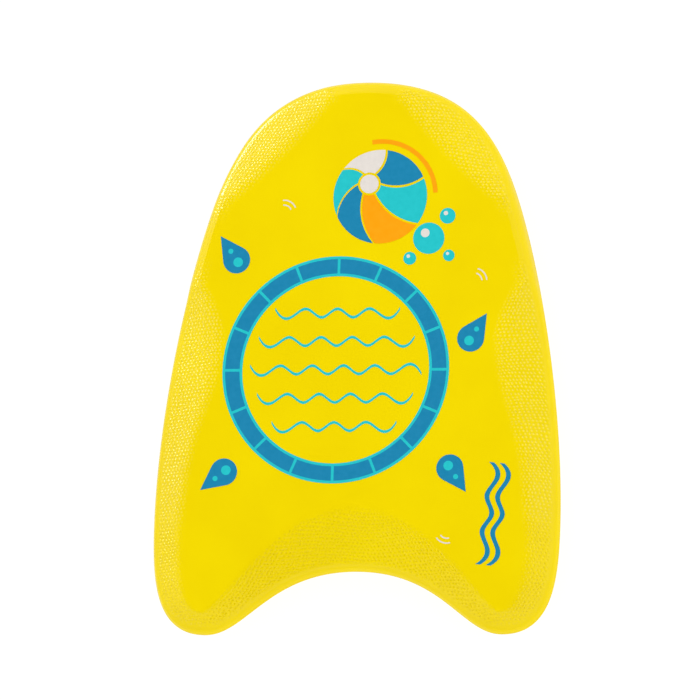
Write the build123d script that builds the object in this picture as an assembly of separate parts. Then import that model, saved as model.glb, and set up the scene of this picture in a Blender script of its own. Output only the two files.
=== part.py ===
"""Child's kickboard float: a moulded closed-cell foam board with a rounded nose, two round tails and a notch.

Frame: origin at the middle of the board's underside, +X to the right, +Y towards the nose, +Z up out of
the printed deck. The board lies flat. Lengths are millimetres and angles are degrees.

The board is a foam core sealed inside two moulded skins, which meet half way up the rim. The deck's flat
panel carries a print of thin transfer films, one for each motif and ink.
"""

from build123d import *
from math import acos, cos, degrees, radians, sin, sqrt
import os

# The board's plan
board_length = 387.0
board_width = 285.0
board_thickness = 30.0
notch_depth = 44.0  # how far the notch reaches up from the tail tips
tail_spread = 208.0  # between the two tail tips
widest_from_tail = 75.0
shoulder_from_nose = 79.5
shoulder_step = 37.5  # how much nearer the axis the shoulder is than the widest point
shoulder_slope = 70.5  # the side's angle to the X axis at the shoulder

# How round each stretch of the plan is: the lengths of its curves' handles
nose_round = 62.0
shoulder_round_up = 50.6
shoulder_round_down = 55.8
side_round = 81.7
tail_side_round = 38.1
tail_round_outer = 35.0
tail_round_inner = 28.5
notch_round = 61.0
handle_per_inset = 0.55  # what a quarter turn's handle loses for each mm that the curve moves in

# The flat panel, and the bevelled grip bands between it and the rim
edge_land = 8.0  # from the plan's edge to the panel where there is no grip band
nose_grip_start = 31.0  # from the axis
nose_grip_bow = 2.5  # how far the nose grip's inner edge bows in from straight
side_grip_start = 64.0  # below the shoulder
side_grip_middle = 107.0  # below the shoulder
side_grip_band = 30.0
tail_side_band = 18.7
tail_end_band = 10.0
notch_band = 42.0
waist_round_up = 14.0
waist_round_down = 34.0
hip_round_up = 68.0
hip_round_down = 39.5
heel_round_outer = 17.0
heel_round_inner = 13.0
panel_crown_round = 57.0

# The rim's section, and the layers
edge_drop = 2.5  # how far the surface falls from the panel to the rim beside an edge land
grip_drop = 8.0  # the same across a grip band
rim_inset = 4.0
wall_inset = 1.0
wall_share = 0.6  # where the wall turns in, as a share of the rim's height over the parting line
skin_wall = 4.0
film_thickness = 0.15

# The print's layout: X from the board's axis, Y up from the ring's foot
print_side_margin = 6.0  # from the ring's far side to the panel's edge at the waist
print_foot_margin = 17.0  # from the ring's foot to the panel's edge at the notch
print_head_margin = 32.0  # from the splash's top to the panel's edge at the nose
line_width = 1.9
ring_radius = 80.0
ring_shift = -15.5
ring_band = 14.0
ring_bars = 16
ripple_rows = (-40.0, -20.0, 0.0, 20.0, 40.0)
ripple_half_wave = 11.0
ripple_height = 6.0
ripple_clearance = 4.0
ball_x = 12.0
ball_gap = 9.0  # from the ring's top to the ball's foot
ball_radius = 33.0
ball_cap_radius = 6.5
ball_cap_shift = (-8.0, 9.0)
ball_panels = ("blue", "white", "turquoise", "blue", "orange", "turquoise")
ball_twist = 24.0  # how far a seam turns on its way from the cap to the ball's edge
ball_seam = 1.6
splash_gap = 4.5  # from the ball's edge
splash_width = 3.0
splash_start, splash_sweep = 4.0, 96.0
# each bubble's angle round the ball, its gap to the ball, and its radius
bubbles = ((-40.0, 2.0, 11.0), (-16.0, 11.5, 5.5), (-40.0, 28.0, 4.0), (-63.0, 11.5, 4.5))
glint_share = 0.28  # of its bubble's radius
glint_place = (0.42, 125.0)  # how far out of the bubble's centre, as a share of its radius, and the angle
# each drop's angle round the ring, its gap to the ring, and its heading
drops = ((133.0, 17.0, 125.0), (13.0, 7.5, 58.0), (-40.0, 18.5, -55.0), (223.0, 15.5, 218.0))
drop_radius = 9.5
drop_length = 30.0
dots = ((-2.0, 0.0, 3.4), (7.5, 0.0, 1.8))  # along a drop, and how large
# each pair of ticks' angle round the ring, its gap to the ring, and its heading
ticks = ((110.0, 38.0, 60.0), (33.0, 34.0, 40.0), (-54.0, 60.0, 250.0))
tick_radii = (9.0, 5.6)
tick_width = 0.9
tick_sweep = 70.0
mark_beside_ring = 34.5
mark_below_foot = 22.0
mark_half_wave = 12.0
mark_waves = 6
mark_height = 5.0
mark_width = 3.4
mark_gap = 7.5
mark_heading = 84.0

# Places that follow from the sizes
half_width = board_width / 2
nose_y = board_length / 2
tail_y = -board_length / 2
crown_y = tail_y + notch_depth
widest_y = tail_y + widest_from_tail
shoulder_x = half_width - shoulder_step
shoulder_y = nose_y - shoulder_from_nose
tail_x = tail_spread / 2
middle_z = board_thickness / 2


def plan_curves(inset):
    """Half the plan, moved in by inset, as four curves of four points each, from the nose to the notch."""
    down_x, down_y = cos(radians(shoulder_slope)), -sin(radians(shoulder_slope))
    shoulder = (shoulder_x + down_y * inset, shoulder_y - down_x * inset)
    less = handle_per_inset * inset

    def on_side(length):
        return (shoulder[0] + down_x * length, shoulder[1] + down_y * length)

    nose = (0, nose_y - inset)
    widest = (half_width - inset, widest_y)
    tail = (tail_x, tail_y + inset)
    crown = (0, crown_y + inset)
    return [
        [nose, (nose_round - less, nose[1]), on_side(less - shoulder_round_up), shoulder],
        [shoulder, on_side(shoulder_round_down), (widest[0], widest_y + side_round), widest],
        [widest, (widest[0], widest_y - tail_side_round + less),
         (tail_x + tail_round_outer - less, tail[1]), tail],
        [tail, (tail_x - tail_round_inner + less, tail[1]), (notch_round + less, crown[1]), crown],
    ]


def split(curve, share):
    """The points of the two parts of a curve, cut at a share of its run."""
    rows = [curve]
    while len(rows[-1]) > 1:
        pairs = zip(rows[-1], rows[-1][1:])
        rows.append([tuple(p + (q - p) * share for p, q in zip(a, b)) for a, b in pairs])
    return [row[0] for row in rows], [row[-1] for row in reversed(rows)]


def share_where(curve, coordinate, value):
    """Where along a curve its x (0) or y (1) reaches a value, as a share, if it only rises or only falls."""
    low, high = 0.0, 1.0
    rises = curve[-1][coordinate] > curve[0][coordinate]
    for _ in range(40):
        share = (low + high) / 2
        before = split(curve, share)[0][-1][coordinate] < value
        low, high = (share, high) if before == rises else (low, share)
    return share


nose_curve, side_curve = plan_curves(0)[:2]
nose_grip_share = share_where(nose_curve, 0, nose_grip_start)
side_grip_share = share_where(side_curve, 1, shoulder_y - side_grip_start)
waist_share = share_where(side_curve, 1, shoulder_y - side_grip_middle)


def plan_stretches(inset):
    """Half the plan in seven stretches: nose land, nose grip, side land, side grip in two, tail and notch."""
    nose, side, tail, notch = plan_curves(inset)
    above_waist, below_waist = split(side, waist_share)
    nose_land, nose_grip = split(nose, nose_grip_share)
    side_land, side_grip = split(above_waist, side_grip_share / waist_share)
    return [nose_land, nose_grip, side_land, side_grip, below_waist, tail, notch]


waist_x = split(side_curve, waist_share)[0][-1][0] - side_grip_band
panel_nose_y = nose_y - edge_land
panel_crown_y = crown_y + notch_band


def panel_stretches():
    """Half the flat panel's edge, in seven stretches that answer to those of the plan."""
    nose_land, nose_grip, side_land = plan_stretches(edge_land)[:3]
    (x0, y0), (x1, y1) = nose_grip[0], nose_grip[-1]
    bow_x, bow_y = (x0 + x1) / 3 - nose_grip_bow, (y0 + y1) / 3 - nose_grip_bow
    side_corner = side_land[-1]
    waist = (waist_x, shoulder_y - side_grip_middle)
    hip = (half_width - tail_side_band, widest_y)
    heel = (tail_x, tail_y + tail_end_band)
    crown = (0, panel_crown_y)
    slant = (side_corner[0] - waist_x) / 2
    return [
        nose_land,
        [(x0, y0), (bow_x + x0 / 3, bow_y + y0 / 3), (bow_x + x1 / 3, bow_y + y1 / 3), (x1, y1)],
        side_land,
        [side_corner, (side_corner[0] - slant, side_corner[1] - waist_round_up),
         (waist_x, waist[1] + waist_round_up), waist],
        [waist, (waist_x, waist[1] - waist_round_down), (hip[0], hip[1] + hip_round_up), hip],
        [hip, (hip[0], hip[1] - hip_round_down), (heel[0] + heel_round_outer, heel[1]), heel],
        [heel, (heel[0] - heel_round_inner, heel[1]), (panel_crown_round, crown[1]), crown],
    ]


def drops_along():
    """How far the rim lies under the panel at the four points of each of the seven stretches."""
    deep = (4 * grip_drop - edge_drop) / 3  # the two middle points that bring a curve to grip_drop half way
    return [
        [edge_drop] * 4,
        [edge_drop, deep, deep, edge_drop],
        [edge_drop] * 4,
        [edge_drop, grip_drop, grip_drop, grip_drop],
        [grip_drop] * 4,
        [grip_drop] * 4,
        [grip_drop] * 4,
    ]


def ring_wire(stretches, heights):
    """A closed wire over both halves of the plan, from one half's stretches and the height of each point."""
    right = [[(x, y, z) for (x, y), z in zip(stretch, zs)] for stretch, zs in zip(stretches, heights)]
    left = [[(-x, y, z) for x, y, z in reversed(stretch)] for stretch in reversed(right)]
    return Wire([Bezier(*stretch) for stretch in right + left])


def half_sections(inset, squeeze):
    """The deck side's sections over the parting line, moved in by inset, with their heights squeezed."""
    over = [[middle_z - drop for drop in stretch] for stretch in drops_along()]
    wall = [[middle_z + squeeze * wall_share * z for z in stretch] for stretch in over]
    rim = [[middle_z + squeeze * z for z in stretch] for stretch in over]
    panel = [[middle_z + squeeze * middle_z] * 4] * len(over)
    return [
        ring_wire(plan_stretches(wall_inset + inset), wall),
        ring_wire(plan_stretches(rim_inset + inset), rim),
        ring_wire(panel_stretches(), panel),
    ]


def parting_wire(inset):
    stretches = plan_stretches(inset)
    return ring_wire(stretches, [[middle_z] * 4] * len(stretches))


def make_core():
    """The foam core: one solid, the same above and below the parting line, a skin's wall inside the board."""
    above = half_sections(skin_wall, (middle_z - skin_wall) / middle_z)
    below = [wire.mirror(Plane.XY.offset(middle_z)) for wire in reversed(above)]
    return Solid.make_loft([*below, parting_wire(skin_wall), *above], ruled=True)


def make_deck_skin(core):
    """The moulded skin from the parting line up, wrapped round the core."""
    return Solid.make_loft([parting_wire(0), *half_sections(0, 1)], ruled=True) - core


# The print
ring_y = ring_radius
ball_y = 2 * ring_radius + ball_gap + ball_radius
splash_radius = ball_radius + splash_gap + splash_width / 2
print_reach = ring_radius - ring_shift
print_height = ball_y + splash_radius + splash_width / 2
print_scale = min(
    (waist_x - print_side_margin) / print_reach,
    (panel_nose_y - print_head_margin - panel_crown_y - print_foot_margin) / print_height,
)


def film(sketch):
    """The transfer film of a motif: its faces on the deck's panel, each raised by the film's thickness."""
    foot = Pos(0, panel_crown_y + print_foot_margin, board_thickness)
    placed = foot * scale(sketch, print_scale, (0, 0, 0))
    return Compound(children=[Solid.extrude(face, (0, 0, film_thickness)) for face in placed.faces()])


def polar(radius, angle):
    return (radius * cos(radians(angle)), radius * sin(radians(angle)))


def round_ring(angle, gap):
    """The place at an angle round the ring, a gap outside its edge."""
    return Pos(ring_shift, ring_y) * Pos(*polar(ring_radius + gap, angle))


def arc_band(radius, width, start, sweep):
    """A band along an arc about the origin."""
    inner, outer = radius - width / 2, radius + width / 2
    end = start + sweep
    return make_face([
        CenterArc((0, 0), inner, start, sweep),
        Line(polar(inner, end), polar(outer, end)),
        CenterArc((0, 0), outer, start, sweep),
        Line(polar(outer, start), polar(inner, start)),
    ])


def wave_band(half_wave, count, height, width):
    """A wavy band along X, centred on the origin, of count half waves."""
    crests = [((i - count / 2) * half_wave, height / 2 * (-1) ** i) for i in range(count + 1)]
    top = [(x, y + width / 2) for x, y in crests]
    foot = [(x, y - width / 2) for x, y in crests]
    return make_face([Spline(*top), Line(top[-1], foot[-1]), Spline(*foot), Line(foot[0], top[0])])


def swim_ring():
    """The ring's blue segments, and the turquoise lines round and between them."""
    outer, inner = ring_radius, ring_radius - ring_band
    bar = Pos(outer - ring_band / 2, 0) * Rectangle(ring_band, line_width)
    bars = [Rot(0, 0, 360 * i / ring_bars) * bar for i in range(ring_bars)]
    segments = Circle(outer - line_width) - Circle(inner + line_width) - bars
    lines = Circle(outer) - Circle(inner) - segments
    return Pos(ring_shift, ring_y) * segments, Pos(ring_shift, ring_y) * lines


def ripples():
    """Rows of ripples on the water inside the ring, each as long as the ring leaves room for."""
    rows = []
    for row in ripple_rows:
        reach = ring_radius - ring_band - ripple_clearance
        half_chord = sqrt(reach**2 - (abs(row) + ripple_height / 2) ** 2)
        count = int(2 * half_chord / ripple_half_wave)
        ripple = wave_band(ripple_half_wave, count, ripple_height, line_width)
        rows.append(Pos(ring_shift, ring_y + row) * ripple)
    return Sketch(children=rows)


def ball_panel(start, end):
    """One panel of the beach ball, between two twisted seams that run from the cap to the ball's edge."""
    cap_x, cap_y = ball_cap_shift
    foot_radius = ball_cap_radius + ball_seam
    cap_gap, edge_gap = (degrees(ball_seam / 2 / radius) for radius in (foot_radius, ball_radius))

    def at_cap(angle):
        x, y = polar(foot_radius, angle)
        return (cap_x + x, cap_y + y)

    def seam(angle, side):
        near = at_cap(angle + side * cap_gap)
        far = polar(ball_radius, angle + ball_twist + side * edge_gap)
        run_x, run_y = far[0] - near[0], far[1] - near[1]
        bulge = (near[0] + run_x / 2 + run_y / 8, near[1] + run_y / 2 - run_x / 8)
        return near, bulge, far

    first, last = seam(start, 1), seam(end, -1)
    middle = (start + end) / 2
    return make_face([
        ThreePointArc(*first),
        ThreePointArc(first[2], polar(ball_radius, middle + ball_twist), last[2]),
        ThreePointArc(*reversed(last)),
        ThreePointArc(last[0], at_cap(middle), first[0]),
    ])


def beach_ball():
    """The ball's panels by ink; the cap over its pole is white."""
    step = 360 / len(ball_panels)
    inks = {"white": [Pos(*ball_cap_shift) * Circle(ball_cap_radius)]}
    for i, ink in enumerate(ball_panels):
        inks.setdefault(ink, []).append(ball_panel(i * step, (i + 1) * step))
    return {ink: Pos(ball_x, ball_y) * Sketch(children=faces) for ink, faces in inks.items()}


def bubble_films():
    """Turquoise bubbles, each with a white glint let into it."""
    discs, glints = [], []
    out, glint_angle = glint_place
    for angle, gap, radius in bubbles:
        place = Pos(ball_x, ball_y) * Pos(*polar(ball_radius + gap + radius, angle))
        glint = Pos(*polar(radius * out, glint_angle)) * Circle(radius * glint_share)
        discs.append(place * (Circle(radius) - glint))
        glints.append(place * glint)
    return Sketch(children=discs), Sketch(children=glints)


def drop_films():
    """Blue water drops, each with two turquoise dots let into it."""
    tip = (drop_length - drop_radius, 0)
    side = degrees(acos(drop_radius / tip[0]))
    upper, lower = polar(drop_radius, side), polar(drop_radius, -side)
    back = ThreePointArc(upper, (-drop_radius, 0), lower)
    outline = make_face([Line(tip, upper), back, Line(lower, tip)])
    spots = [Pos(x, y) * Circle(radius) for x, y, radius in dots]
    body = outline - spots
    places = [round_ring(angle, gap + drop_radius) * Rot(0, 0, heading) for angle, gap, heading in drops]
    bodies = [place * body for place in places]
    return Sketch(children=bodies), Sketch(children=[place * spot for place in places for spot in spots])


def tick_films():
    """Pairs of short white arcs that show movement."""
    pair = [arc_band(radius, tick_width, -tick_sweep / 2, tick_sweep) for radius in tick_radii]
    places = [round_ring(angle, gap) * Rot(0, 0, heading) for angle, gap, heading in ticks]
    return Sketch(children=[place * arc for place in places for arc in pair])


def wave_mark():
    """Two waves side by side, up the board's right tail."""
    waves = [Pos(0, side * mark_gap / 2) * wave_band(mark_half_wave, mark_waves, mark_height, mark_width)
             for side in (1, -1)]
    place = Pos(ring_shift + ring_radius + mark_beside_ring, -mark_below_foot)
    return place * Rot(0, 0, mark_heading) * Sketch(children=waves)


foam_core = make_core()
deck_skin = make_deck_skin(foam_core)
ring_segments, ring_lines = swim_ring()
ball = beach_ball()
bubble_discs, bubble_glints = bubble_films()
drop_bodies, drop_dots = drop_films()
splash = Pos(ball_x, ball_y) * arc_band(splash_radius, splash_width, splash_start, splash_sweep)

nodes = {
    "foam_core": foam_core,
    "deck_skin": deck_skin,
    "base_skin": deck_skin.mirror(Plane.XY.offset(middle_z)),
    "print_ring_segments": film(ring_segments),
    "print_ring_lines": film(ring_lines),
    "print_ripples": film(ripples()),
    **{f"print_ball_{ink}": film(sketch) for ink, sketch in ball.items()},
    "print_splash": film(splash),
    "print_bubbles": film(bubble_discs),
    "print_bubble_glints": film(bubble_glints),
    "print_drops": film(drop_bodies),
    "print_drop_dots": film(drop_dots),
    "print_ticks": film(tick_films()),
    "print_wave_mark": film(wave_mark()),
}

os.makedirs("parts", exist_ok=True)
for name, shape in nodes.items():
    export_step(shape, f"parts/{name}.step")
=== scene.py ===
"""A child's kickboard float of moulded foam: two grained skins, the core sealed in them and the print."""

import bpy
import numpy as np
from math import cos, radians, sin
from mathutils import Matrix, Vector


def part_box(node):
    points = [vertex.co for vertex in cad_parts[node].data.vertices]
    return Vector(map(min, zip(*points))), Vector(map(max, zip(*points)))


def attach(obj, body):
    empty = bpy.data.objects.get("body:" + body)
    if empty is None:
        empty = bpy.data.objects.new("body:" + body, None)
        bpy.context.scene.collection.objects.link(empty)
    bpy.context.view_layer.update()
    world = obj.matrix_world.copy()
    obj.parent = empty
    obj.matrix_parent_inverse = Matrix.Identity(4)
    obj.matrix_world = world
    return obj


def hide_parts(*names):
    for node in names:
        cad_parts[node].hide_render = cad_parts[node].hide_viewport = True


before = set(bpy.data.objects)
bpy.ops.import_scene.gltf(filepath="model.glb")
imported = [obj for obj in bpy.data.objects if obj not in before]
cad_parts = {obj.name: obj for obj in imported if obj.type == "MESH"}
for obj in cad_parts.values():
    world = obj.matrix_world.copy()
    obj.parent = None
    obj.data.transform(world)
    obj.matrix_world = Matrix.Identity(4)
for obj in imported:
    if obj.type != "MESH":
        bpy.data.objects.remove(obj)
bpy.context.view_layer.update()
mm = 0.001

# The deck skin. It is closed-cell EVA foam, compression moulded: a flat panel, smooth lands beside it at the
# nose and the sides, and bevelled grip bands pebbled by the mould. It is bonded to the core and meets the
# base skin in a fine groove half way up the rim. Its mesh is a long grid, wrapped once round the board.
low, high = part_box("deck_skin")
board_length = (high.y - low.y) / mm
half_width = (high.x - low.x) / 2 / mm
top = high.z / mm
middle = low.z / mm
nose_y, tail_y = board_length / 2, -board_length / 2
notch_depth = 44.0
crown_y = tail_y + notch_depth
widest_y = tail_y + 75.0
shoulder = (half_width - 37.5, nose_y - 79.5)
shoulder_slope = 70.5
waist_y = shoulder[1] - 107.0
tail_x = 104.0
# how long the handles of the plan's curves are, two for each curve, and how much they change as it moves in
nose_pull, shoulder_pull = 62.0, 50.6
side_pull, widest_pull = 55.8, 81.7
hip_pull, tail_pull = 38.1, 35.0
heel_pull, crown_pull = 28.5, 61.0
pull_per_inset = 0.55


def plan_curves(inset):
    """The right half of the plan, moved in by inset: nose, side, tail and notch, four points each."""
    down = (cos(radians(shoulder_slope)), -sin(radians(shoulder_slope)))
    at = (shoulder[0] + down[1] * inset, shoulder[1] - down[0] * inset)
    less = pull_per_inset * inset

    def on_side(length):
        return (at[0] + down[0] * length, at[1] + down[1] * length)

    nose, widest = (0, nose_y - inset), (half_width - inset, widest_y)
    tail, crown = (tail_x, tail_y + inset), (0, crown_y + inset)
    return [
        [nose, (nose_pull - less, nose[1]), on_side(less - shoulder_pull), at],
        [at, on_side(side_pull), (widest[0], widest_y + widest_pull), widest],
        [widest, (widest[0], widest_y - hip_pull + less), (tail_x + tail_pull - less, tail[1]), tail],
        [tail, (tail_x - heel_pull + less, tail[1]), (crown_pull + less, crown[1]), crown],
    ]


def split(curve, share):
    """The two parts of a curve, cut at a share of its run."""
    rows = [np.array(curve, float)]
    while len(rows[-1]) > 1:
        rows.append(rows[-1][:-1] + (rows[-1][1:] - rows[-1][:-1]) * share)
    return [row[0] for row in rows], [row[-1] for row in reversed(rows)]


def along(curve, shares):
    """The points of a curve at shares of its run."""
    a, b, c, d = np.array(curve, float)
    s = np.asarray(shares).reshape(-1, *[1] * np.ndim(a))
    return (1 - s) ** 3 * a + 3 * (1 - s) ** 2 * s * b + 3 * (1 - s) * s**2 * c + s**3 * d


def share_where(curve, coordinate, value):
    """Where along a curve its x (0) or y (1) reaches a value."""
    shares = np.linspace(0, 1, 4001)
    reached = along(curve, shares)[:, coordinate]
    order = np.argsort(reached)
    return float(np.interp(value, reached[order], shares[order]))


# where the smooth lands end and the grips begin
nose_land_x = 31.0
side_land_length = 64.0
nose_curve, side_curve = plan_curves(0)[:2]
waist_share = share_where(side_curve, 1, waist_y)
nose_grip_share = share_where(nose_curve, 0, nose_land_x)
side_grip_share = share_where(side_curve, 1, shoulder[1] - side_land_length) / waist_share


def plan_stretches(inset):
    """The same half in seven: nose land, nose grip, side land, side grip above and below, tail and notch."""
    nose, side, tail, notch = plan_curves(inset)
    above_waist, below_waist = split(side, waist_share)
    nose_land, nose_grip = split(nose, nose_grip_share)
    side_land, side_grip = split(above_waist, side_grip_share)
    return [nose_land, nose_grip, side_land, side_grip, below_waist, tail, notch]


# how wide the bands between the panel and the rim are, and how far the nose grips' inner edges bow in
land_width, waist_band, hip_band, tail_band, notch_band = 8.0, 30.0, 18.7, 10.0, 42.0
nose_bow = 2.5


def panel_stretches():
    """The flat panel's edge in seven stretches that answer to those of the plan."""
    nose_land, nose_grip, side_land = plan_stretches(land_width)[:3]
    start, end = np.array(nose_grip[0]), np.array(nose_grip[-1])
    corner = side_land[-1]
    waist = (split(side_curve, waist_share)[0][-1][0] - waist_band, waist_y)
    hip, heel = (half_width - hip_band, widest_y), (tail_x, tail_y + tail_band)
    crown = (0, crown_y + notch_band)
    slant = (corner[0] - waist[0]) / 2
    # each stretch's two inner points are the handles of its curve
    return [
        nose_land,
        [start, start + (end - start) / 3 - nose_bow, end + (start - end) / 3 - nose_bow, end],
        side_land,
        [corner, (corner[0] - slant, corner[1] - 14.0), (waist[0], waist[1] + 14.0), waist],
        [waist, (waist[0], waist[1] - 34.0), (hip[0], hip[1] + 68.0), hip],
        [hip, (hip[0], hip[1] - 39.5), (heel[0] + 17.0, heel[1]), heel],
        [heel, (heel[0] - 13.0, heel[1]), (57.0, crown[1]), crown],
    ]


# the mesh's columns stand this far apart along the rim, six to a pebble
column_step = 0.43
rim_inset = 4.0
fine = np.linspace(0, 1, 600)
steps = []
for stretch in plan_stretches(rim_inset):
    points = along(stretch, fine)
    run = np.concatenate([[0], np.cumsum(np.linalg.norm(np.diff(points, axis=0), axis=1))])
    count = round(run[-1] / column_step)
    steps.append(np.interp(np.arange(count) / count * run[-1], run, fine))


def whole_loop(stretches):
    """The loop of both halves, from one half's stretches; a stretch of four numbers gives one of values."""
    right = np.concatenate([along(s, shares) for s, shares in zip(stretches, steps)] + [[stretches[-1][-1]]])
    left = right[-2:0:-1]
    return np.concatenate([right, left * (-1, 1) if right.ndim == 2 else left])


def eased(values, reach):
    """Values round the loop, averaged over a reach to either side."""
    n = round(reach / column_step)
    bell = np.hanning(2 * n + 3)[1:-1]
    padded = np.concatenate([values[-n:], values, values[:n]])
    return np.convolve(padded, bell / bell.sum(), "valid")


def per_stretch(*values, reach=9.0):
    """Values round the loop, from one for each of the seven stretches, eased where they meet."""
    return eased(whole_loop([[value] * 4 for value in values]), reach)


def at_height(loop, heights):
    """A level loop lifted to a height, or to one for each of its points."""
    return np.column_stack([loop, np.broadcast_to(heights, len(loop))])


# how far the rim lies below the panel, at the lands and in the grips
edge_drop, grip_drop = 2.5, 8.0
deep = (4 * grip_drop - edge_drop) / 3
all_deep = [grip_drop] * 4
drop = whole_loop([
    [edge_drop] * 4, [edge_drop, deep, deep, edge_drop], [edge_drop] * 4,
    [edge_drop, grip_drop, grip_drop, grip_drop], all_deep, all_deep, all_deep,
])
# how soft the panel's edge is: crisp at the side lands, softer at the nose, and softest in the grips
soft = per_stretch(0.6, 1.0, 0.0, 1.0, 1.0, 1.0, 1.0)
start_inside = 0.5 + 3.5 * soft
# how far inside its edge the flat starts to roll off, and how much it has sunk at the edge
roll_off = per_stretch(11.0, 11.0, 11.0, 10.0, 9.0, 5.5, 5.5)
sag = 0.5 * (1 - soft)
# the share of a band's width in which it bends down to its straight slope
ease = per_stretch(0.12, 0.2, 0.03, 0.2, 0.2, 0.25, 0.25)
settled = 1 - ease * (1 - np.exp(-1 / ease))

panel = whole_loop(panel_stretches())
heading = np.roll(panel, -1, axis=0) - np.roll(panel, 1, axis=0)
heading /= np.linalg.norm(heading, axis=1)[:, None]
turn_reach = 14.0
inward = np.column_stack([eased(heading[:, 1], turn_reach), eased(-heading[:, 0], turn_reach)])
inward /= np.linalg.norm(inward, axis=1)[:, None]
height = top - middle
wall_inset, wall_share = 1.0, 0.6
rim = whole_loop(plan_stretches(rim_inset))
wall = at_height(whole_loop(plan_stretches(wall_inset)), middle + wall_share * (height - drop))
foot = at_height(whole_loop(plan_stretches(0.0)), middle)
roll_off_rows, band_rows = 18, 70
rows = []
for v in np.linspace(0, 1, roll_off_rows + 1)[:-1]:  # the flat's roll-off
    rows.append(at_height(panel + inward * (start_inside + (roll_off - start_inside) * (1 - v))[:, None],
                          top - sag * v**2))
band_start = panel + inward * start_inside[:, None]
run_out = rim - band_start
band = np.linalg.norm(run_out, axis=1)
# how far before the rim its rounding begins: a set reach, or less on a narrow band
before_rim = np.minimum(2.2, band * 0.4)
for v in np.linspace(0, 1, band_rows):  # the band itself, up to the rim's rounding
    share = v * (1 - before_rim / band)
    fallen = (share - ease * (1 - np.exp(-share / ease))) / settled
    rows.append(at_height(band_start + run_out * share[:, None], top - sag - (drop - sag) * fallen))
slope = (drop - sag) * (1 - np.exp(-share / ease)) / settled / band


def unit(vectors):
    """The same directions, each one long."""
    return vectors / np.linalg.norm(vectors, axis=1)[:, None]


def rounding(start, corner, end, count):
    """Rows along the curve that rounds off a corner row between two others."""
    shares = np.linspace(0, 1, count + 1)[1:]
    return [(1 - v) ** 2 * start + 2 * v * (1 - v) * corner + v**2 * end for v in shares]


on_rim = at_height(rim, top - drop)
rim_corner = rows[-1] + np.column_stack([run_out / band[:, None], -slope]) * before_rim[:, None]
rim_rounding, rim_rows = 2.0, 7
wall_rounding, wall_rows = 2.6, 6
wall_start = on_rim + unit(wall - on_rim) * rim_rounding
rows += rounding(rows[-1], rim_corner, wall_start, rim_rows)
rows += rounding(rows[-1], wall, wall + unit(foot - wall) * wall_rounding, wall_rows)
above_groove = foot + (0, 0, 0.9)
for v in (0.33, 0.66, 1.0):  # the wall, down to the parting groove
    rows.append(rows[-1] + (above_groove - rows[-1]) * v)
outer = len(rows)
# the groove's upper half, then the inside, which follows the outside one skin's thickness in
groove_lip, groove_lip_height, groove_depth = 0.12, 0.3, 0.55
skin = 4.0
squeeze = (height - skin) / height
inner_rim = middle + squeeze * (height - drop)
inner_wall = middle + squeeze * wall_share * (height - drop)
rows += [
    at_height(whole_loop(plan_stretches(groove_lip)), middle + groove_lip_height),
    at_height(whole_loop(plan_stretches(groove_depth)), middle),
    at_height(whole_loop(plan_stretches(skin)), middle),
    at_height(whole_loop(plan_stretches(skin + wall_inset)), inner_wall),
    at_height(whole_loop(plan_stretches(skin + rim_inset)), inner_rim),
    at_height(panel, middle + height - skin),
]
surface = np.array(rows)

# the pebbles of the grips: a close-packed lattice that wanders, each pebble a little off its place
pebble_pitch = 2.65
row_pitch = pebble_pitch * 0.866
pebble_radius, radius_spread = 0.35, 0.03
off_place = 0.14
steepness = 1.4
pebble_height = per_stretch(0.4, 0.38, 0.4, 0.4, 0.4, 0.46, 0.55, reach=12.0)


def scatter(column, row, a, b, c):
    """A fixed number between -1 and 1 for each pebble of the lattice."""
    return np.modf(np.sin(column * a + row * b) * c)[0]


def pebbles(x, y):
    """How high the grain stands at a point, from 0 in a hollow to 1 on top of a pebble."""
    x, y = (x + 1.4 * np.sin(y / 10 + 1.3) + 0.8 * np.sin(x / 13 + y / 8),
            y + 1.2 * np.sin(x / 12 + 0.4) + 0.6 * np.sin(y / 7 - x / 17))
    row, column = np.floor(y / row_pitch), np.floor(x / pebble_pitch - y / row_pitch / 2)
    best = np.full(x.shape, 9.0)
    for i in (-1, 0, 1, 2):
        for j in (-1, 0, 1, 2):
            r, c = row + j, column + i
            jog = scatter(c, r, 127.1, 311.7, 43758.5)
            jig = scatter(c, r, 269.5, 183.3, 24634.6)
            radius = pebble_radius + radius_spread * scatter(c, r, 41.3, 89.9, 9631.2)
            off_x = x - (c + r / 2 + off_place * jog) * pebble_pitch
            off_y = y - (r + off_place * jig) * row_pitch
            best = np.minimum(best, (off_x**2 + off_y**2) / (radius * pebble_pitch) ** 2)
    return np.clip(1 - best, 0, 1) ** steepness


around = np.roll(surface, -1, axis=1) - np.roll(surface, 1, axis=1)
across = np.gradient(surface, axis=0)
normal = np.cross(across, around)
normal /= np.maximum(np.linalg.norm(normal, axis=2), 1e-9)[:, :, None]
from_crease = np.linalg.norm(surface[:, :, :2] - panel[None], axis=2) * np.sign(
    np.einsum("rcx,cx->rc", panel[None] - surface[:, :, :2], inward))
to_rim = np.linalg.norm(rim - panel, axis=1)[None] - from_crease
# where the pebbles stand: in the grips and not on the lands, thinning out at both ends of each grip
grained = eased(whole_loop([[0, 0, 0, 1.0], [1.0] * 4, [1.0, -0.2, -0.2, 1.0], *[[1.0] * 4] * 4]), 4.0)
fade_ends = np.clip((grained - 0.2) / 0.5, 0, 1)[None]
# how far inside the panel's edge they are half faded in, and over what reach to either side
overlap = per_stretch(6.0, 6.0, 5.0, 5.5, 4.0, 1.5, 1.0)
fade_reach = per_stretch(3.5, 3.5, 3.5, 3.5, 4.0, 6.0, 7.0)
fade_in = np.clip((from_crease + overlap + fade_reach) / (2 * fade_reach), 0, 1)
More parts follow.
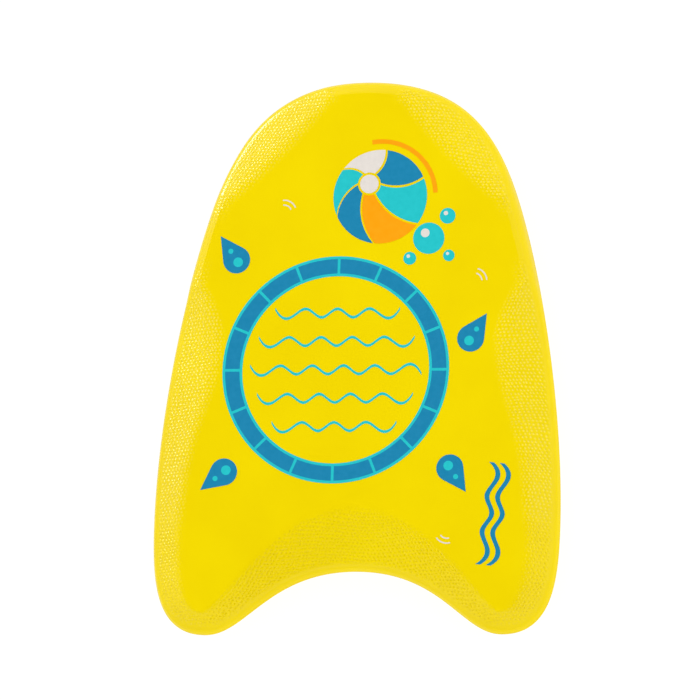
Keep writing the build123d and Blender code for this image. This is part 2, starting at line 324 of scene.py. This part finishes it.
# they die out just short of the rim
bare_rim, rim_fade = 0.2, 1.2
fade_out = np.clip((to_rim - bare_rim) / rim_fade, 0, 1)
mask = fade_ends * fade_in**2 * (3 - 2 * fade_in) * fade_out
mask[outer:] = 0
grain = pebbles(surface[:, :, 0], surface[:, :, 1])
surface += normal * (grain * mask * pebble_height[None])[:, :, None]

# the grid's ends meet, its two long sides are filled with flat faces, and that closes the skin
bpy.ops.object.select_all(action="DESELECT")
row_count, column_count = surface.shape[:2]
bpy.ops.mesh.primitive_grid_add(x_subdivisions=column_count, y_subdivisions=row_count - 1, size=2)
deck_shell = bpy.context.object
deck_shell.name = "deck_shell"
flat = np.empty(len(deck_shell.data.vertices) * 3, np.float32)
deck_shell.data.vertices.foreach_get("co", flat)
flat = flat.reshape(-1, 3)
column = np.rint((flat[:, 0] + 1) / 2 * column_count).astype(int) % column_count
row = np.rint((flat[:, 1] + 1) / 2 * (row_count - 1)).astype(int)
deck_shell.data.vertices.foreach_set("co", (surface[row, column] * mm).astype(np.float32).ravel())
# painted highlight: how far each pebble's top is tinted paler to stand in for the glint of light on it
tip_highlight = deck_shell.data.attributes.new("tip_highlight", "FLOAT", "POINT")
highlight_share = per_stretch(0.5, 0.9, 0.5, 1.0, 1.0, 0.3, 0.0, reach=12.0)
tip_highlight.data.foreach_set("value", (grain * mask * highlight_share)[row, column].astype(np.float32))
bpy.ops.object.mode_set(mode="EDIT")
bpy.ops.mesh.select_all(action="SELECT")
bpy.ops.mesh.remove_doubles(threshold=1e-6)
bpy.ops.mesh.fill_holes(sides=0)
bpy.ops.mesh.select_all(action="SELECT")
bpy.ops.mesh.normals_make_consistent(inside=False)
bpy.ops.object.mode_set(mode="OBJECT")
bpy.ops.object.shade_smooth_by_angle(angle=radians(62))


def mottle(material, one, other, scale):
    """Colours a material in soft clouds of two colours, and gives the node that they come from."""
    nodes, links = material.node_tree.nodes, material.node_tree.links
    place = nodes.new("ShaderNodeTexCoord")
    clouds = nodes.new("ShaderNodeTexNoise")
    clouds.inputs["Scale"].default_value = scale
    clouds.inputs["Detail"].default_value = 4
    tint = nodes.new("ShaderNodeValToRGB")
    tint.color_ramp.elements[0].position, tint.color_ramp.elements[1].position = 0.3, 0.7
    tint.color_ramp.elements[0].color = (*one, 1)
    tint.color_ramp.elements[1].color = (*other, 1)
    links.new(place.outputs["Object"], clouds.inputs["Vector"])
    links.new(clouds.outputs["Fac"], tint.inputs["Fac"])
    links.new(tint.outputs["Color"], nodes["Principled BSDF"].inputs["Base Color"])
    return tint


def foam_cells(material, scale, strength, depth):
    """Gives a material the fine tooth of closed foam cells."""
    nodes, links = material.node_tree.nodes, material.node_tree.links
    place = nodes.new("ShaderNodeTexCoord")
    cells = nodes.new("ShaderNodeTexNoise")
    cells.inputs["Scale"].default_value = scale
    cells.inputs["Detail"].default_value = 3
    bump = nodes.new("ShaderNodeBump")
    bump.inputs["Strength"].default_value = strength
    bump.inputs["Distance"].default_value = depth
    links.new(place.outputs["Object"], cells.inputs["Vector"])
    links.new(cells.outputs["Fac"], bump.inputs["Height"])
    links.new(bump.outputs["Normal"], nodes["Principled BSDF"].inputs["Normal"])


yellow = bpy.data.materials.new("yellow_foam")
yellow.use_nodes = True
nodes, links = yellow.node_tree.nodes, yellow.node_tree.links
foam = nodes["Principled BSDF"]
foam.inputs["Roughness"].default_value = 0.21
foam.inputs["Specular IOR Level"].default_value = 0.16
tint = mottle(yellow, (0.845, 0.64, 0.0), (0.88, 0.68, 0.0), scale=22)
foam_cells(yellow, scale=1400, strength=0.12, depth=0.0001)
# painted highlight: the pebbles' tips are painted paler, most of all in the grips of the nose and the sides
tip_highlight_attribute = nodes.new("ShaderNodeAttribute")
tip_highlight_attribute.attribute_name = "tip_highlight"
tip_highlight_mix = nodes.new("ShaderNodeMix")
tip_highlight_mix.data_type = "RGBA"
tip_highlight_mix.inputs["B"].default_value = (0.94, 0.77, 0.1, 1)
links.new(tip_highlight_attribute.outputs["Fac"], tip_highlight_mix.inputs["Factor"])
links.new(tint.outputs["Color"], tip_highlight_mix.inputs["A"])
links.new(tip_highlight_mix.outputs["Result"], foam.inputs["Base Color"])
deck_shell.data.materials.append(yellow)
# a copy is taken for the base skin before the deck skin gets its place in the frame
bpy.ops.object.select_all(action="DESELECT")
deck_shell.select_set(True)
bpy.context.view_layer.objects.active = deck_shell
bpy.ops.object.duplicate()
base_shell = bpy.context.object
base_shell.name = "base_shell"
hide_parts("deck_skin")
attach(deck_shell, "root")

# The base skin. It is of the same foam and from the same mould as the deck skin, so it is that piece turned
# over, with no print on it. It is bonded under the core and to the deck skin along the rim's groove.
base_shell.data.transform(Matrix.Translation((0, 0, 2 * middle * mm)) @ Matrix.Diagonal((1, 1, -1, 1)))
base_shell.data.flip_normals()
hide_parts("base_skin")
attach(base_shell, "root")

# The core. It is the buoyant slab of cream closed-cell EVA foam, cut to fill the hollow between the skins and
# bonded to both. They seal it in, so it shows only when the board is taken apart.
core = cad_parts["foam_core"]
core_foam = bpy.data.materials.new("core_foam")
core_foam.use_nodes = True
core_shader = core_foam.node_tree.nodes["Principled BSDF"]
core_shader.inputs["Roughness"].default_value = 0.8
core_shader.inputs["Specular IOR Level"].default_value = 0.15
mottle(core_foam, (0.66, 0.62, 0.5), (0.76, 0.72, 0.6), scale=90)
foam_cells(core_foam, scale=700, strength=0.8, depth=0.0004)
core.data.materials.clear()
core.data.materials.append(core_foam)

# The print. It is a set of transfer films in four matt inks, pressed on the deck's flat panel with heat: one
# film for each ink of each motif. Ink is a touch paler where it lies thin, and takes the foam's fine tooth.
inks = {
    "blue": (0.008, 0.215, 0.4),
    "turquoise": (0.015, 0.515, 0.545),
    "orange": (0.93, 0.345, 0.0),
    "white": (0.72, 0.67, 0.62),
}
ink_of = {
    "print_ring_segments": "blue", "print_ball_blue": "blue", "print_drops": "blue",
    "print_wave_mark": "blue",
    "print_ring_lines": "turquoise", "print_ripples": "turquoise", "print_ball_turquoise": "turquoise",
    "print_bubbles": "turquoise", "print_drop_dots": "turquoise",
    "print_ball_orange": "orange", "print_splash": "orange",
    "print_ball_white": "white", "print_bubble_glints": "white", "print_ticks": "white",
}
ink_materials = {}
for ink, colour in inks.items():
    material = bpy.data.materials.new(ink + "_ink")
    material.use_nodes = True
    shader = material.node_tree.nodes["Principled BSDF"]
    shader.inputs["Roughness"].default_value = 0.45
    shader.inputs["Specular IOR Level"].default_value = 0.12
    thin = [channel * 1.06 + 0.004 for channel in colour]
    mottle(material, thin, colour, scale=260)
    foam_cells(material, scale=1400, strength=0.3, depth=0.0001)
    ink_materials[ink] = material
for name, ink in ink_of.items():
    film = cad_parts[name]
    film.data.materials.clear()
    film.data.materials.append(ink_materials[ink])

# The floor. It is a wide matt white board that glows a little, so that the ground about the float is evenly
# white. It isn't seen in reflections.
bpy.ops.mesh.primitive_plane_add(size=12)
floor = bpy.context.object
floor.name = "floor"
pale = bpy.data.materials.new("pale_floor")
pale.use_nodes = True
pale_shader = pale.node_tree.nodes["Principled BSDF"]
pale_shader.inputs["Base Color"].default_value = (0.15, 0.15, 0.15, 1)
pale_shader.inputs["Emission Color"].default_value = (1, 1, 1, 1)
pale_shader.inputs["Emission Strength"].default_value = 0.9
pale_shader.inputs["Roughness"].default_value = 0.9
pale_shader.inputs["Specular IOR Level"].default_value = 0.0
floor.data.materials.append(pale)
floor.visible_glossy = False

# The light. The room is brightest about a third of the way up and dark overhead. A low softbox beyond the
# nose's left is seen in reflections only and picks out the pebbles. Two large ones give soft light only.
world = bpy.data.worlds.new("studio")
bpy.context.scene.world = world
world.use_nodes = True
sky, wires = world.node_tree.nodes, world.node_tree.links
background = sky["Background"]
background.inputs["Strength"].default_value = 1.66
direction = sky.new("ShaderNodeTexCoord")
height_up = sky.new("ShaderNodeVectorMath")
height_up.operation = "DOT_PRODUCT"
height_up.inputs[1].default_value = (-0.05, 0.12, 0.99)
room = sky.new("ShaderNodeValToRGB")
room.color_ramp.elements[0].color = (0.4, 0.4, 0.4, 1)
room.color_ramp.elements[1].position = 0.87
room.color_ramp.elements[1].color = (0.04, 0.04, 0.04, 1)
for stop, shade_of_grey in ((0.3, 0.85), (0.58, 1.2)):
    room.color_ramp.elements.new(stop).color = (shade_of_grey, shade_of_grey, shade_of_grey, 1)
wires.new(direction.outputs["Generated"], height_up.inputs[0])
wires.new(height_up.outputs["Value"], room.inputs["Fac"])
wires.new(room.outputs["Color"], background.inputs["Color"])


def softbox(name, place, wide, tall, power):
    """A rectangular lamp that faces the board's middle."""
    bpy.ops.object.light_add(type="AREA", location=place)
    lamp = bpy.context.object
    lamp.name = name
    lamp.data.shape = "RECTANGLE"
    lamp.data.size, lamp.data.size_y = wide, tall
    lamp.data.energy = power
    lamp.rotation_mode = "QUATERNION"
    lamp.rotation_quaternion = Vector(place).to_track_quat("Z", "Y")
    return lamp


gloss = softbox("gloss", (-1.66, 1.32, 0.38), wide=0.7, tall=0.5, power=41)
gloss.visible_diffuse = False
bank = softbox("bank", (-1.3, 1.95, 1.43), wide=1.8, tall=1.8, power=14)
bank.visible_glossy = False
fill = softbox("fill", (1.60, 0.55, 1.30), wide=1.2, tall=1.2, power=3)
fill.visible_glossy = False

# The camera. It looks down on the deck through a very long lens, about 16 degrees off square, and is rolled
# by a hair. The board stands a little to the right of and below the middle of the view.
lens, sensor, field = 1200.0, 36.0, 0.4825
towards = Vector((0.198, -0.185, 0.0))
towards.z = (1 - towards.length_squared) ** 0.5
side = (Vector((1, 0, 0)) - towards * towards.x).normalized()
roll = radians(-0.3)
side.rotate(Matrix.Rotation(roll, 3, towards))
upward = towards.cross(side)
shift_side, shift_up = -0.00854, 0.00567
aim = Vector((0, 0, middle * mm)) + side * shift_side + upward * shift_up
bpy.ops.object.camera_add(location=aim + towards * field * lens / sensor)
camera = bpy.context.object
camera.data.lens = lens
camera.data.sensor_width = sensor
camera.data.clip_end = 50
camera.rotation_mode = "QUATERNION"
camera.rotation_quaternion = Matrix([side, upward, towards]).transposed().to_quaternion()
bpy.context.scene.camera = camera
bpy.context.scene.view_settings.view_transform = "Standard"
